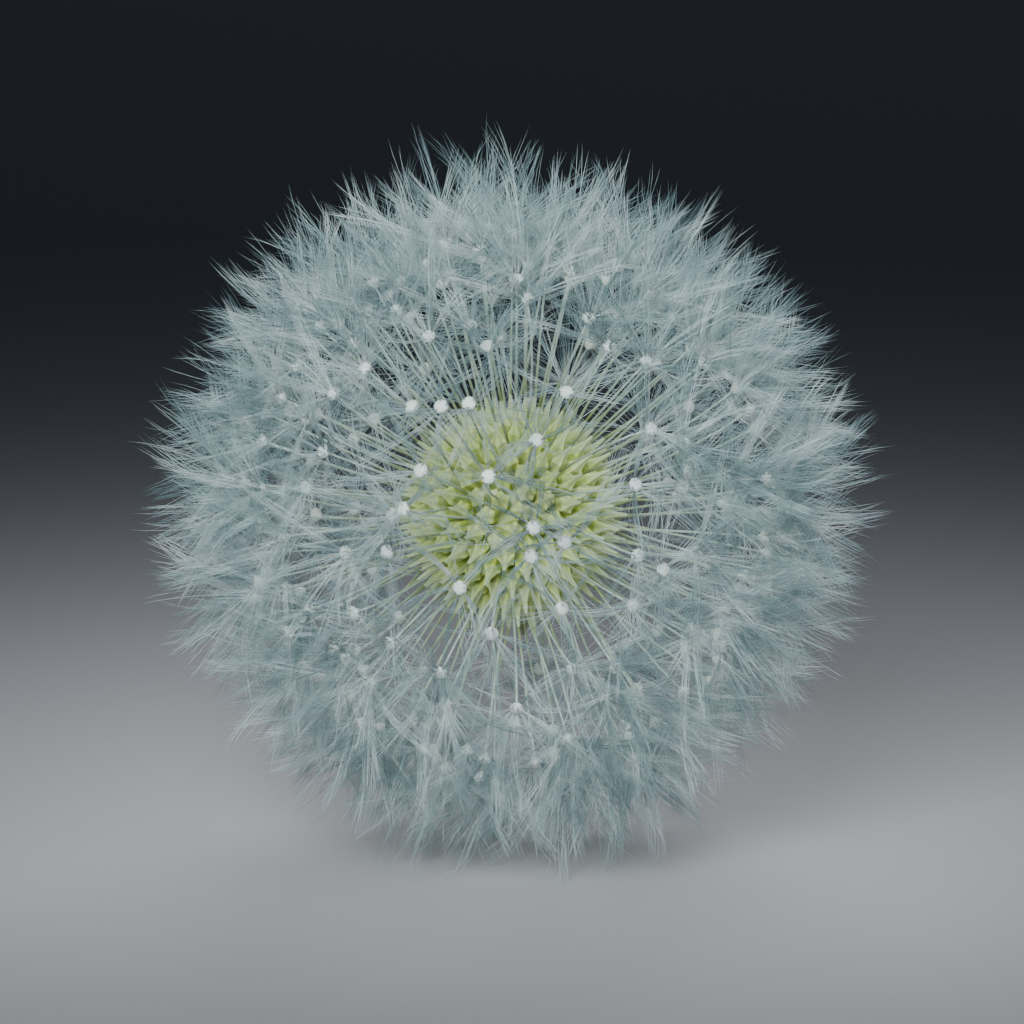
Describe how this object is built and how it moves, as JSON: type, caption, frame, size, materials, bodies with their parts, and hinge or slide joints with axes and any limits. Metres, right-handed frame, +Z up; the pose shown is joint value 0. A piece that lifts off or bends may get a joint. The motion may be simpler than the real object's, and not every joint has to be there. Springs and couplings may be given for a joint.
{
  "type": "dandelion seed head",
  "caption": "Ripe dandelion clock: a globe of pale parachutes on thin beaks round a yellow-green middle, with bracts and a cut stem behind.",
  "frame": {"origin": "on the surface that the head rests on, under the middle of its bounding box", "axes": "+Z up, -Y towards the apex of the head, which is tipped up 13 degrees, +Y towards the cut stem, +X to the right when looking along +Y at the apex"},
  "size_m": [0.0418, 0.0398, 0.0395],
  "materials": {
    "down": "fine white silky hairs, slightly blue in cool light",
    "achenes": "pale yellow-green dry fruits, dull",
    "bracts": "green leaf, satin",
    "stem": "pale green stalk, satin"
  },
  "bodies": {
    "root": {"down": "down", "receptacle": "achenes", "bracts": "bracts", "stem": "stem"}
  },
  "joints": []
}
